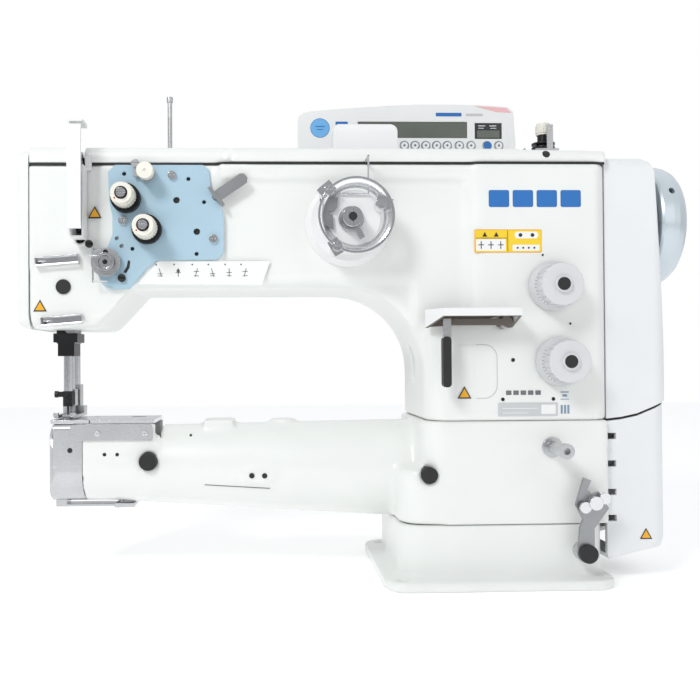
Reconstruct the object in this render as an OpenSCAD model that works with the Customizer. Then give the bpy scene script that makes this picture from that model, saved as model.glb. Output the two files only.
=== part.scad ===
// Long-arm cylinder-bed leather sewing machine.
// Origin: centre of the four base bolts, on the underside of the flange. X runs along the arm
// towards the handwheel, Y points away from the operator, Z is up. The needle is at Y = 0.

/* [Base] */
// length of the base flange along X
flange_len = 204; // [180:1:230]
// width of the base flange along Y
flange_wid = 190; // [160:1:220]
// thickness of the base flange
flange_t = 8; // [6:0.5:14]
// height of the seam between pedestal and bed casting
seam_z = 53; // [40:1:70]

/* [Column and arm] */
// height of the joint between bed casting and arm casting
joint_z = 145.5; // [135:0.5:160]
// left face of the column
col_x0 = -66; // [-80:1:-50]
// right face of the column
col_x1 = 98; // [80:1:110]
// half depth of the column
col_hy = 72; // [60:1:80]
// half depth of the arm
arm_hy = 62; // [50:1:70]
// underside of the arm
arm_z0 = 265; // [240:1:290]
// height of the seam under the top cover
arm_z1 = 376; // [360:1:390]
// left end of the head casting
head_x = -419; // [-440:1:-400]
// underside of the head
head_z = 230; // [215:1:245]

/* [Mechanism] */
// height of the upper shaft
shaft_z = 329; // [315:1:340]
// radius of the upper shaft
shaft_r = 10; // [7:0.5:12]
// X of the needle bar
needle_x = -398.7; // [-405:0.1:-390]
// radius of the needle bar
needle_bar_r = 3.9; // [3:0.1:5]
// Y of the walking foot bar
walk_y = 13; // [11:0.5:16]
// Y of the presser bar
presser_y = 32; // [30:0.5:36]
// X of the vertical hook shaft
hook_x = -369; // [-375:0.5:-360]
// height of the lower shaft
low_z = 97; // [92:0.5:102]
// top of the bed plates
bed_z = 146.7; // [140:0.1:150]
// radius of the handwheel
wheel_r = 57.6; // [45:0.1:70]

/* [Hidden] */
$fn = 48;
clr = 0.05;
gap = 0.35;
plate_y = -66;
flange_x0 = -flange_len / 2 - 4;
key_z = 428.2;
key_x = [-60.8, -49.4, -37.9, -26.3, -15, -2, 10.6, 27.9, 40.4];
post_x = 55;
bolt_x = 91;
bolt_y = 80;
white = [0.93, 0.94, 0.93];
steel = [0.72, 0.73, 0.75];
dark = [0.08, 0.08, 0.09];
cream = [0.93, 0.91, 0.84];
blue_paint = [0.66, 0.77, 0.84];
grey = [0.55, 0.56, 0.58];
brass = [0.75, 0.62, 0.32];

// which node to draw

// ---- helpers -------------------------------------------------------------

// rounded rectangle from corner to corner
module rr(x0, y0, x1, y1, r) {
    translate([x0 + r, y0])
        square([x1 - x0 - 2 * r, y1 - y0]);
    translate([x0, y0 + r])
        square([x1 - x0, y1 - y0 - 2 * r]);
    for (x = [x0 + r, x1 - r], y = [y0 + r, y1 - r])
        translate([x, y])
            circle(r = r);
}

// front view outline (X, Z) pushed towards the operator, from y down to y - t
module fy(y, t) {
    translate([0, y, 0])
        rotate([90, 0, 0])
            linear_extrude(height = t)
                children();
}

// side view outline (Y, Z) pushed along +X from x
module fx(x, t) {
    translate([x, 0, 0])
        rotate([90, 0, 90])
            linear_extrude(height = t)
                children();
}

// plan outline (X, Y) pushed up from z
module fz(z, t) {
    translate([0, 0, z])
        linear_extrude(height = t)
            children();
}

// round bar along +X, +Y or +Z from a point
module bx(p, r, l) {
    translate(p)
        rotate([0, 90, 0])
            cylinder(r = r, h = l);
}

module by(p, r, l) {
    translate(p)
        rotate([-90, 0, 0])
            cylinder(r = r, h = l);
}

module bz(p, r, l) {
    translate(p)
        cylinder(r = r, h = l);
}

// box from corner to corner
module bb(a, b) {
    translate(a)
        cube(b - a);
}

// pan-head screw facing the operator, seated at y, with a cross recess
module pan_screw(x, y, z, r, h) {
    difference() {
        union() {
            by([x, y - h, z], r, h);
            by([x, y - h, z], r * 0.8, h);
        }
        bb([x - r * 0.62, y - h - 1, z - r * 0.12], [x + r * 0.62, y - h * 0.45, z + r * 0.12]);
        bb([x - r * 0.12, y - h - 1, z - r * 0.62], [x + r * 0.12, y - h * 0.45, z + r * 0.62]);
    }
}

// slotted cheese-head screw facing the operator
module slot_screw(x, y, z, r, h) {
    difference() {
        by([x, y - h, z], r, h);
        bb([x - r - 1, y - h - 1, z - r * 0.14], [x + r + 1, y - h * 0.5, z + r * 0.14]);
    }
}

// ---- castings ------------------------------------------------------------

// hollow foot that carries the machine, open underneath
module base_pedestal() {
    color(white)
        difference() {
            union() {
                fz(0, flange_t)
                    rr(flange_x0, -flange_wid / 2, flange_x0 + flange_len, flange_wid / 2, 20);
                fz(0, seam_z)
                    rr(-91, -col_hy, 95, col_hy, 22);
            }
            fz(-1, seam_z - 8)
                rr(-79, -col_hy + 12, 83, col_hy - 12, 12);
            fz(-1, seam_z + 2)
                rr(-50, -40, 60, 40, 8);
            by([71, -90, 30.3], 5.05, 40);
            for (x = [-bolt_x, bolt_x], y = [-bolt_y, bolt_y])
                bz([x, y, -1], 4.75, 40);
        }
}

// horizontal cylinder bed with the lower half of the column
module bed_casting() {
    color(white)
        difference() {
            union() {
                // tapered tube
                translate([-378, 0, 104.5])
                    rotate([0, 90 + 1.48, 0])
                        cylinder(r1 = 34.5, r2 = 47, h = 310);
                // flat-topped left end
                intersection() {
                    fx(-378, 70)
                        rr(-34.5, 69.5, 34.5, 144.2, 30);
                    bb([-378, -50, 60], [-308, 50, 144.2]);
                }
                fx(-378, 66)
                    rr(-34.5, 106, 34.5, 144.2, 6);
                // column base
                fz(seam_z + 0.2, 50)
                    rr(-91, -col_hy, 88, col_hy, 24);
                fz(seam_z + 0.2, joint_z - seam_z - 0.2)
                    rr(-70, -col_hy, 88, col_hy, 20);
                fz(seam_z + 0.2, joint_z - seam_z - 0.2)
                    rr(30, -col_hy, col_x1, col_hy, 6);
                // raised bosses
                fy(-30, 13)
                    rr(-231, 88, -202, 102, 6.8);
                bb([-268, -20, 100], [-240, 20, 145]);
                bz([-193, 0, 100], 12, 45);
            }
            // flat seat on the pedestal and square left end
            bb([-96, -80, 20], [110, 80, seam_z + 0.2]);
            bb([-400, -60, 40], [-378, 60, 160]);
            // column base cavity
            fz(0, 200)
                rr(-50, -60, 84, 60, 10);
            // tube cavity
            bx([-400, 0, 103], 27.5, 365);
            fx(-400, 92)
                rr(-28, 82, 28, 160, 8);
            // seats of the steel plates on top
            bb([-400, -40, bed_z - 3.5], [-300, 40, 160]);
            // bore for the right bearing of the lower shaft
            bx([80, 0, low_z], 12, 30);
            by([-317.6, -60, 108.8], 8.05, 40);
            by([-64.8, -90, 97.9], 6.45, 40);
            by([-222.6, -90, 95.4], 2.45, 60);
            by([-210.9, -90, 95.2], 2.45, 60);
            for (x = [-364, -320.7])
                by([x, -50, 134.5], 1.6, 30);
        }
    color(white)
        for (x = [-328, -110])
            difference() {
                bb([x, -27.6, 76], [x + 8, 27.6, 124]);
                bx([x - 1, 0, low_z], 12, 10);
                bb([x - 1, 12.6, 84], [x + 9, 40, 110]);
            }
}

// side outline of the arm casting
module arm_side() {
    difference() {
        translate([head_x, joint_z + 0.2])
            square([col_x1 - head_x, arm_z1 - joint_z - 0.2]);
        translate([-500, 50])
            square([358, arm_z0 - 50]);
        translate([-500, 50])
            square([500 + col_x0, arm_z0 - 76 - 50]);
        translate([col_x0 - 76, arm_z0 - 76])
            circle(r = 76, $fn = 96);
    }
    polygon([[head_x, head_z], [-360, head_z], [-328, arm_z0], [-328, arm_z0 + 6], [head_x, arm_z0 + 6]]);
}

// arm, head and upper column in one hollow casting, open on top, left and below
module arm_casting() {
    color(white)
        difference() {
            union() {
                intersection() {
                    fy(90, 180)
                        arm_side();
                    union() {
                        fx(head_x, 395)
                            rr(-arm_hy, arm_z0, arm_hy, 420, 14);
                        fx(head_x, 91.5)
                            rr(-arm_hy, head_z, arm_hy, 420, 14);
                        bb([-145, -arm_hy + 5, arm_z0 - 80], [-60, arm_hy - 5, arm_z0 + 15]);
                        bb([-75, -arm_hy + 0.2, head_z], [-14, arm_hy - 0.2, arm_z0 + 18]);
                        fz(joint_z, arm_z1 - joint_z)
                            rr(-30, -col_hy, col_x1, col_hy, 14);
                        fz(joint_z, 95)
                            rr(col_x0, -col_hy, 20, col_hy, 20);
                        bb([-250, -col_hy + 3, 362], [0, col_hy - 3, arm_z1]);
                    }
                }
                // raised pad under the tension plate
                fy(-arm_hy + 1, 3)
                    union() {
                        rr(-356, 268, -248, 375, 5);
                        rr(-346, 300, -250, 375, 3);
                    }
            }
            // arm cavity
            bb([-432, -54, 272], [col_x0 + 20, 54, 400]);
            // head cavity
            bb([-432, -50, 238], [-360, 50, 300]);
            // column cavity
            fz(100, 132)
                rr(-54, -62, 88, 62, 10);
            fz(100, 300)
                rr(-20, -62, 88, 62, 10);
            bb([-54, -54, 100], [80, 54, 400]);
            // bar opening in the underside of the head
            bb([-411, -14, 220], [-386, 44, 250]);
            // shaft opening in the right wall
            bx([80, 0, shaft_z], 16, 30);
            // take-up lever slot in the front wall
            bb([-378, -80, 306], [-369.5, -40, 400]);
            // bores of dials, levers and winder
            by([47.1, -90, 265.2], 6.05, 60);
            by([52.8, -90, 198.2], 6.05, 60);
            by([2, -90, 233], 5.05, 60);
            by([-134.8, -90, 322.4], 5.05, 60);
            by([-331.6, -90, 344.3], 4.05, 60);
            by([-313.2, -90, 316.7], 4.05, 60);
            by([-252.5, -90, 346.5], 3.05, 60);
            // slit on the left side of the column
            bb([-80, -6, 180], [-50, 6, 215]);
        }
    color(white)
        for (x = [-350, -186])
            difference() {
                bb([x, -56, 290], [x + 8, 56, 370]);
                bx([x - 1, 0, shaft_z], 16, 10);
                bx([x - 1, 3, 362], 4, 10);
                bx([x - 1, -24, 340], 4, 10);
            }
    // shelves that guide the presser bar
    color(white)
        for (z = [252, 322])
            difference() {
                bb([-409, 24, z], [-351.9, 56, z + 8]);
                bz([needle_x, presser_y, z - 1], 7, 10);
            }
}

// ---- covers and trim -----------------------------------------------------

// end cover over the open left side of the head
module head_face_plate() {
    color(white)
        difference() {
            intersection() {
                fx(-427.7, 8.4)
                    rr(-arm_hy, head_z, arm_hy, 390.5, 14);
                fy(70, 140)
                    rr(-427.7, head_z, -400, 390.5, 8);
            }
            fx(-423, 20)
                rr(-52, head_z + 9, 52, 366, 8);
        }
}

// lid over the whole top
module top_cover() {
    color(white)
        difference() {
            intersection() {
                fy(90, 180)
                    union() {
                        rr(-418.8, 365, 20, 393, 2);
                        polygon([[-60, 365], [98, 365], [98, 388.5], [0, 391], [-60, 393]]);
                    }
                union() {
                    fx(-420, 440)
                        rr(-arm_hy - 1, 350, arm_hy + 1, 393, 10);
                    fx(-240, 338)
                        rr(-col_hy + 3, 350, col_hy - 3, 391, 10);
                }
                bb([-430, -100, arm_z1 + 1], [200, 100, 500]);
            }
            bb([-410, -55, 370], [84, 55, 386]);
            bb([-378, -90, 370], [-369.5, -40, 400]);
        }
}

// raised hump on the top cover
module winder_dome() {
    color(white)
        difference() {
            intersection() {
                fy(20, 44)
                    rr(-144.5, 380, -83.5, 425.5, 9);
                fx(-150, 80)
                    rr(-24, 380, 20, 425.5, 9);
                bb([-200, -50, 393.05], [0, 50, 500]);
            }
            bb([-139, -19, 380], [-89, 15, 419]);
        }
}

// upright shield in front of the take-up lever
module take_up_guard() {
    color(white)
        difference() {
            union() {
                intersection() {
                    fx(-378.7, 12)
                        rr(-92, 308.7, -50, 411.3, 14);
                    bb([-400, -100, 300], [-366.7, -63.3, 420]);
                }
                bb([-370, -65.2, 370], [-362.6, -63.3, 383.5]);
            }
            // hollow behind the front strip, open to the right above the low wall
            bb([-377, -89.5, 310.4], [-368.4, -50, 408]);
            bb([-377, -89.5, 300], [-360, -80.5, 408]);
            bb([-377, -89.5, 372], [-366, -65.2, 408]);
            bb([-377, -70, 383.5], [-360, -50, 408]);
        }
}

// light blue plate that carries the thread tension parts
module tension_plate() {
    color(blue_paint)
        difference() {
            fy(plate_y + 1.8, 2.2)
                polygon([[-348, 368.5], [-341.9, 374.8], [-264.1, 374.9], [-258.8, 370.5],
                    [-257.1, 355.3], [-247.4, 336.6], [-245.7, 325.9], [-245.9, 296.5],
                    [-252.1, 290.4], [-304.3, 290.4], [-314, 283.3], [-329.1, 264.9],
                    [-344.9, 264.3], [-352.8, 268.3], [-358, 279.9], [-361.6, 296],
                    [-348.5, 302], [-344.2, 313.5], [-344.2, 329], [-346.9, 342]]);
            for (p = [[-333.8, 366.9], [-277.1, 362.4], [-263.3, 341.8], [-270.1, 295.7], [-326.7, 300.3],
                    [-340.4, 309.7], [-336.3, 302.8]])
                by([p[0], -70, p[1]], 1.8, 20);
            for (p = [[-287.7, 343.5], [-269.8, 315.5]])
                by([p[0], -70, p[1]], 2.9, 20);
            by([-331.6, -70, 344.3], 4.05, 20);
            by([-313.2, -70, 316.7], 4.05, 20);
            by([-252.5, -70, 346.5], 3.4, 20);
        }
}

// wire loop guide on the head with a black screw at its left end
module thread_guide(x0, z0, x1, z1) {
    color(steel)
        union() {
            translate([x0, -63.3, z0])
                rotate([0, -atan2(z1 - z0, x1 - x0), 0])
                    union() {
                        bb([0, 0, -4.4], [x1 - x0, 1.2, 4]);
                        bx([0, -4, -3.6], 1.2, x1 - x0);
                        bb([0, -3.4, 3.1], [x1 - x0, 1.2, 4]);
                        bb([x1 - x0 - 1, -5, -4.8], [x1 - x0, 1.2, 4]);
                        bb([0, -5, -4.8], [1, 1.2, 4]);
                    }
            slot_screw(x0 + 5, -62.9, z0 + 0.8, 3.6, 3);
        }
}

module thread_guide_upper() {
    thread_guide(-412, 289, -374, 292);
}

module thread_guide_lower() {
    thread_guide(-407, 236, -371, 239);
}

// grey disc that holds the check spring
module disc_of_spring() {
    color(grey)
        union() {
            by([-349.1, -74, 287.7], 12.8, 3.2);
            by([-349.1, -71, 287.7], 9, 4.5);
            by([-349.1, -76.5, 287.7], 5.2, 3);
            bb([-352, -71, 294], [-345, -68.2, 300]);
        }
}

// thin wire of the check spring and its upright guide
module wire_of_spring() {
    color(steel)
        union() {
            by([-360.5, -73, 300], 1.1, 7);
            bz([-360.5, -72, 270], 0.8, 32);
            bx([-360.5, -72, 271], 0.8, 13);
            difference() {
                by([-349.1, -78.8, 287.7], 8, 1.8);
                by([-349.1, -80, 287.7], 6, 5);
            }
            bx([-363, -78, 293.2], 0.7, 10);
        }
}

// stop finger and black screws around the spring disc
module black_head_screws() {
    color(dark)
        for (p = [[-336, 274.3], [-364.5, 304.5]])
            slot_screw(p[0], -66.5, p[1], 3.4, 3);
}

module tension_stud(x, z) {
    color(steel)
        difference() {
            union() {
                by([x, -101, z], 4, 42);
                by([x, -68.9, z], 6.5, 0.5);
            }
            bb([x - 5, -102, z - 0.6], [x + 5, -97, z + 0.6]);
        }
}

// pair of pressed discs with the spring behind the knob
module tension_discs(x, z) {
    color(dark)
        difference() {
            union() {
                by([x, -70.6, z], 13, 1.4);
                by([x, -73.6, z], 8, 3.2);
                by([x, -75.4, z], 13, 1.8);
                by([x, -79.4, z], 7.6, 4.2);
            }
            by([x, -82, z], 4.05, 20);
        }
}

// knurled adjusting knob
module tension_knob(x, z) {
    color(cream)
        difference() {
            union() {
                by([x, -98, z], 9.2, 18);
                by([x, -90.5, z], 10.4, 10.5);
            }
            by([x, -110, z], 4.06, 60);
            for (a = [0 : 15 : 359])
                translate([x, 0, z])
                    rotate([0, a, 0])
                        bb([10, -92, -0.5], [12, -79, 0.5]);
        }
}

module tension_knob_upper() {
    tension_knob(-331.6, 344.3);
}

module tension_knob_lower() {
    tension_knob(-313.2, 316.7);
}

// small guide post above the tension plate
module pretension_guide() {
    color(cream)
        difference() {
            by([-313, -87, 366], 7.3, 9);
            by([-313, -90, 366], 1.2, 4);
        }
    color(steel)
        union() {
            by([-313, -78.1, 366], 3, 10);
            by([-313, -69.3, 366], 5, 2.8);
            by([-313, -72, 366], 7.5, 1.2);
            bb([-325, -70.8, 363.5], [-311, -69.2, 368.5]);
            bb([-325, -70.8, 364], [-321, -69.2, 378]);
            slot_screw(-323, -70.7, 375, 3.6, 3.2);
        }
}

// upright wire on the top cover
module thread_antenna() {
    color(steel)
        difference() {
            union() {
                bz([-300.4, 0, 393.05], 5, 2.6);
                bz([-300.4, 0, 393.05], 2.2, 60);
                bz([-300.4, 0, 450], 3, 5);
            }
            bx([-310, 0, 452.4], 1, 20);
        }
}

// hand lever that opens the tension
module release_lever() {
    color(grey)
        union() {
            fy(-69.6, 2.6)
                polygon([[-256, 347.5], [-252.1, 352], [-231.3, 366.1], [-227.6, 366], [-224.6, 362.6],
                    [-225, 358.2], [-247.2, 343.4], [-249, 340]]);
            fy(-69.2, 4)
                polygon([[-259.8, 353.4], [-257.6, 354.9], [-244.6, 339], [-246.8, 336.8]]);
            by([-252.5, -72, 346.5], 3, 20.4);
        }
}

// ---- thread stand parts and winder ---------------------------------------

// bracket and stem of the bobbin thread tension on the top cover
module thread_post() {
    color(steel)
        difference() {
            union() {
                bb([44, -37, 390.9], [68, -14, 392.5]);
                bb([44, -38.5, 390.9], [66, -37, 397.5]);
                bz([post_x, -26, 391.2], 3, 29);
                bb([54.6, -38.5, 391], [60.4, -37, 419.8]);
                bx([34, -26, 398], 0.9, 20);
                bz([34.8, -26, 391.2], 1, 7);
                by([34.8, -34, 397.6], 1.1, 9);
            }
            by([57.5, -40, 416.4], 1.5, 10);
        }
}

module winder_tension_discs() {
    color(dark)
        difference() {
            union() {
                bz([post_x, -26, 399.4], 10.8, 1.5);
                bz([post_x, -26, 400.6], 6.5, 3);
                bz([post_x, -26, 403.2], 10.8, 1.5);
                bz([post_x, -26, 404.5], 5.4, 7.6);
            }
            bz([post_x, -26, 395], 3.05, 30);
        }
}

module cylinder_at(p, r1, r2, h) {
    translate(p)
        cylinder(r1 = r1, r2 = r2, h = h);
}

module winder_tension_knob() {
    color(cream)
        difference() {
            union() {
                bz([post_x, -26, 412.4], 6.4, 10.8);
                bz([post_x, -26, 414], 7.1, 7);
            }
            bz([post_x, -26, 410], 3.06, 10.6);
            for (a = [0 : 20 : 359])
                translate([post_x, -26, 0])
                    rotate([0, 0, a])
                        bb([6.8, -0.5, 413], [9, 0.5, 424]);
        }
}

// upright that carries the operation panel behind the arm
module panel_bracket() {
    color(grey)
        union() {
            bb([-90, col_hy + 0.2, 330], [-20, col_hy + 4.2, 400]);
            bb([-80, col_hy + 4.2, 384], [-30, 104, 388]);
            bb([-80, 100, 384], [-30, 104, 440]);
            bb([-80, 96, 425], [-30, 104, 440]);
        }
}

module panel_outline() {
    polygon([[-173.4, 415], [-173.4, 458], [-168, 462.4], [-160.3, 464.1], [-120, 467.5], [-80, 470.3],
        [-41.3, 471.9], [0, 471.8], [27, 471], [50.6, 469.4], [56, 464.6], [58.4, 430.4], [58, 415]]);
}

module panel_shell() {
    color(white)
        difference() {
            fy(96, 20)
                panel_outline();
            bb([-110.5, 70, 436.2], [6.6, 78, 453.6]);
            bb([14.7, 70, 435.4], [43.8, 78, 452.5]);
            for (x = key_x)
                by([x, 70, key_z], 4.55, 9);
            bb([-160, 82, 420], [48, 92, 458]);
        }
}

module panel_screen() {
    color([0.33, 0.36, 0.32])
        bb([-110.2, 76.4, 436.5], [6.3, 77.8, 453.3]);
    color(dark)
        bb([15, 76.2, 435.7], [43.5, 77.8, 452.2]);
}

// membrane keys in the lower edge of the panel
module panel_keys() {
    color(cream)
        for (x = key_x)
            by([x, 75, key_z], 4.2, 3.4);
}

// conical seat of the bobbin winder on the arm front
module winder_plate() {
    color(white)
        difference() {
            union() {
                translate([-134.8, -arm_hy - 0.1, 322.4])
                    rotate([90, 0, 0])
                        cylinder(r1 = 38.5, r2 = 34, h = 13);
                translate([-133, -74, 323.5])
                    rotate([90, 0, 0])
                        cylinder(r1 = 30, r2 = 24, h = 16);
                for (p = [[-156.5, 347], [-110, 333.5], [-148.5, 297.5]])
                    by([p[0], -96.7, p[1]], 5, 26);
            }
            by([-134.8, -100, 322.4], 5.05, 60);
        }
}

// open ring with three lugs in front of the seat
module ring_part() {
    color(steel)
        union() {
            difference() {
                by([-130.8, -100, 325.1], 33, 3);
                by([-130.8, -101, 325.1], 31, 5);
            }
            for (p = [[-156.5, 347, -40], [-107, 336, 20], [-148.5, 297.5, 60]])
                translate([p[0], 0, p[1]])
                    rotate([0, p[2], 0])
                        bb([-7, -98.8, -5], [7, -97.2, 5]);
            for (p = [[-154.5, 346], [-109.5, 334], [-147.5, 298]])
                pan_screw(p[0], -98.6, p[1], 4.2, 3);
        }
}

// grey plate with the thread cutter
module winder_cutter() {
    color(grey)
        difference() {
            union() {
                fy(-92, 1.8)
                    polygon([[-162, 340], [-146, 341], [-147, 333], [-151, 326], [-150, 313],
                        [-158, 317], [-161, 327]]);
                by([-154, -93.6, 336], 3, 3.4);
            }
            bb([-155, -96, 326], [-147, -90, 329]);
        }
}

// angled wire that guides the bobbin thread
module winder_wire() {
    color(steel)
        union() {
            bz([-119.6, -92, 343.6], 0.8, 34);
            by([-119.6, -92.9, 377.2], 1, 22);
            bx([-146, -92, 344], 0.9, 27);
            by([-145.4, -98.4, 344], 1, 7);
        }
}

module winder_spindle() {
    color(steel)
        difference() {
            union() {
                by([-134.8, -104, 322.4], 5, 64);
                by([-134.8, -108, 322.4], 8.6, 4.2);
                by([-134.8, -94, 322.4], 11, 2.5);
            }
            by([-134.8, -110, 322.4], 2.8, 5);
            bb([-135.4, -109, 313], [-134.2, -105.5, 332]);
        }
    color(dark)
        by([-134.8, -107.2, 322.4], 2.7, 2);
}

// small lever that starts and stops winding
module winder_trip_lever() {
    color(grey)
        difference() {
            union() {
                by([-134.8, -97.6, 322.4], 9.5, 2.2);
                translate([-134.8, 0, 322.4])
                    rotate([0, -28, 0])
                        bb([-2.6, -97.6, -19.5], [2.6, -95.4, 0]);
            }
            by([-134.8, -100, 322.4], 5.35, 10);
        }
}

// ---- column front --------------------------------------------------------

// sloping shelf above the reverse lever
module lever_hood() {
    color(white)
        difference() {
            intersection() {
                fz(220, 24.9)
                    polygon([[-57.3, -102], [10.7, -102], [10.7, -72.1], [-67.7, -72.1]]);
                fx(-70, 90)
                    polygon([[-60, 228.7], [-60, 246], [-102, 246], [-102, 238], [-72.1, 228.7]]);
            }
            fz(210, 31.5)
                polygon([[-55.6, -100], [8, -100], [8, -60], [-69, -60]]);
        }
}

// reverse feed lever with its black grip
module reverse_lever() {
    color(steel)
        union() {
            by([2, -84, 233], 5, 26);
            by([2, -86, 233], 5.5, 3);
            bb([-51.5, -86, 230.4], [2, -83.4, 236.2]);
            bb([-51.5, -92, 230.4], [-48.5, -83.4, 236.2]);
            bb([-55.5, -92, 215], [-48.5, -89.4, 236.2]);
        }
    color(dark)
        difference() {
            fy(-86.5, 9)
                rr(-56.3, 176.5, -49.1, 220.5, 3.4);
            bb([-55.6, -92.1, 214.9], [-48.4, -89.3, 224]);
        }
}

// numbered dial facing the operator
module dial(x, z) {
    color([0.91, 0.92, 0.92])
        difference() {
            union() {
                translate([x, -74.4, z])
                    rotate([90, 0, 0])
                        cylinder(r1 = 22, r2 = 20.6, h = 12.6);
                by([x, -100, z], 18.5, 14);
                by([x, -80, z], 6, 30);
                by([x, -103, z], 7.4, 4);
            }
            for (a = [0 : 18 : 359])
                translate([x, 0, z])
                    rotate([0, a, 0])
                        bb([18.15, -101, -0.7], [20, -87.6, 0.7]);
        }
    color(dark)
        by([x, -103.6, z], 5.6, 2);
}

module stitch_dial() {
    dial(47.1, 265.2);
}

module alternate_dial() {
    dial(52.8, 198.2);
}

// plugs and hole liners on the column front
module column_trim() {
    color(dark)
        for (p = [[11, 199.8, 1.7], [38.6, 293.5, 1], [63, 232, 1]])
            by([p[0], -col_hy - 0.4, p[1]], p[2], 0.35);
}

// upper cover on the handwheel side
module side_cover_upper() {
    color(white)
        difference() {
            intersection() {
                fy(64, 128)
                    polygon([[98.6, 384], [133, 384.3], [141, 379], [145.5, 371], [157, 181],
                        [154.9, 162.3], [140, 156], [126.9, 150.7], [112, 147.6], [98.6, 146.2]]);
                fz(130, 260)
                    union() {
                        rr(60, -62, 157.2, 62, 14);
                        bb2(60, -62, 110, 62);
                    }
                fx(90, 80)
                    rr(-62, 100, 62, 384.3, 10);
            }
            intersection() {
                fy(59, 118)
                    polygon([[90, 379.5], [131, 379.5], [138, 374], [141, 366], [152.6, 181],
                        [150, 100], [90, 100]]);
                fz(130, 260)
                    rr(60, -57, 152.6, 57, 10);
            }
            bx([120, 0, shaft_z], 13, 60);
        }
}

module bb2(x0, y0, x1, y1) {
    translate([x0, y0])
        square([x1 - x0, y1 - y0]);
}

// lower cover with four air slots
module side_cover_lower() {
    color(white)
        difference() {
            intersection() {
                fy(64, 128)
                    polygon([[98.6, 144], [112, 145.4], [126.9, 148.5], [140, 153.8], [154.9, 160.1],
                        [153.6, 40], [148, 31], [100, 19.5], [98.6, 24]]);
                fz(10, 170)
                    union() {
                        rr(60, -62, 155, 62, 14);
                        bb2(60, -62, 110, 62);
                    }
            }
            intersection() {
                fy(59, 118)
                    polygon([[90, 200], [151, 200], [149.2, 42], [145, 34.5], [99, 23.6], [90, 23.6]]);
                fz(10, 190)
                    rr(60, -57, 150.6, 57, 10);
            }
            bb([112, -30, 10], [138, 30, 60]);
            for (z = [130.4, 105.5, 79.8, 56.3])
                bb([90, -70, z - 2.8], [107.5, -50, z + 2.8]);
        }
}

// black seal in the joint between the side covers
module cover_seal() {
    color(dark)
        difference() {
            intersection() {
                fy(60.5, 121)
                    polygon([[98.7, 144.2], [112, 145.6], [126.9, 148.7], [140, 154], [154, 160.1],
                        [154, 161.5], [140, 155.7], [126.9, 150.5], [112, 147.4], [98.7, 146]]);
                fz(130, 50)
                    rr(60, -60.5, 153.5, 60.5, 12);
            }
            fz(130, 50)
                rr(50, -57.5, 150.5, 57.5, 10);
        }
}

// black rubber plugs in casting holes
module rubber_plugs() {
    color(dark)
        union() {
            by([-64.8, -73.6, 97.9], 6.4, 8);
            by([-64.8, -73.6, 97.9], 7.5, 1.5);
        }
    color(dark)
        by([-388.4, -63.4, 267.2], 6.6, 1.3);
    color(dark)
        by([-317.6, -42, 108.8], 8, 9);
}

// front stud that carries the lock plate spring
module lock_stud() {
    color(steel)
        difference() {
            union() {
                by([45.5, -106, 122], 5.6, 34);
                by([45.5, -111, 122], 6.6, 7);
                by([45.5, -74.4, 122], 9, 2.3);
            }
            by([45.5, -112, 122], 2.8, 8);
        }
}

// hooked lock plate on the column base
module lock_plate() {
    color(grey)
        difference() {
            union() {
                fy(-84, 3)
                    polygon([[68.3, 96.5], [75, 93.8], [71.2, 86], [75.5, 82], [81.5, 84], [90.5, 69.4],
                        [77.5, 52], [77.5, 32], [74, 25.5], [66, 25.5], [62.5, 30.3], [64.5, 52],
                        [67.5, 60], [60.9, 72.4]]);
                by([71, -87, 30.3], 8.5, 3);
            }
            by([71, -90, 30.3], 5.05, 10);
            by([76.5, -90, 75], 3.05, 10);
        }
}

module lock_pivot() {
    color(steel)
        union() {
            by([71, -88, 30.3], 5, 24);
            by([71, -83.6, 30.3], 8, 11.5);
        }
    color(dark)
        by([71, -92, 30.3], 8, 4);
}

// winged clamp screw through the lock plate
module wing_bolt() {
    color(steel)
        union() {
            by([76.5, -93, 75], 3, 15);
            by([76.5, -95, 75], 6, 7.6);
            translate([76.5, -91, 75])
                rotate([0, -24, 0])
                    union() {
                        by([-9.5, -2, 0], 5, 3);
                        by([9.5, -2, 0], 5, 3);
                        bb([-9, -2, -3], [9, 1, 3]);
                    }
        }
}

// ---- drive train ---------------------------------------------------------

module upper_shaft() {
    color(steel)
        bx([-384, 0, shaft_z], shaft_r, 564);
}

// domed handwheel at the right end
module wheel_rim() {
    color([0.80, 0.83, 0.87])
        difference() {
            union() {
                translate([160, 0, shaft_z])
                    rotate([0, 90, 0])
                        rotate_extrude($fn = 96)
                            polygon([[0, -30], [12.4, -30], [12.4, -2], [0, -2]]);
                translate([160, 0, shaft_z])
                    rotate([0, 90, 0])
                        rotate_extrude($fn = 96)
                            polygon([[0, -3], [20, -3], [20, 3], [50, 3], [50, -5], [wheel_r - 1.5, -5],
                                [wheel_r, -3], [wheel_r, 6], [wheel_r - 1.1, 12], [wheel_r - 3.4, 17],
                                [wheel_r - 7.2, 20.8], [wheel_r - 12, 23.2], [wheel_r - 19, 24.4],
                                [0, 24.9]]);
            }
            bx([120, 0, shaft_z], shaft_r + clr, 60.2);
            by([166.8, -60, shaft_z + 26.4], 3, 30);
        }
}

// grooved belt pulley under the side cover
module belt_pulley() {
    color(grey)
        difference() {
            bx([112, 0, shaft_z], 44, 20);
            bx([111, 0, shaft_z], shaft_r + clr, 30);
            translate([122, 0, shaft_z])
                rotate([0, 90, 0])
                    rotate_extrude($fn = 96)
                        polygon([[37, -3], [46, -6.5], [46, 6.5], [37, 3]]);
        }
}

module timing_pulley_upper() {
    color(grey)
        difference() {
            union() {
                bx([30, 0, shaft_z], 30, 24);
                bx([28.5, 0, shaft_z], 34, 1.5);
                bx([54, 0, shaft_z], 34, 1.5);
            }
            bx([20, 0, shaft_z], shaft_r + clr, 50);
        }
}

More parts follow.
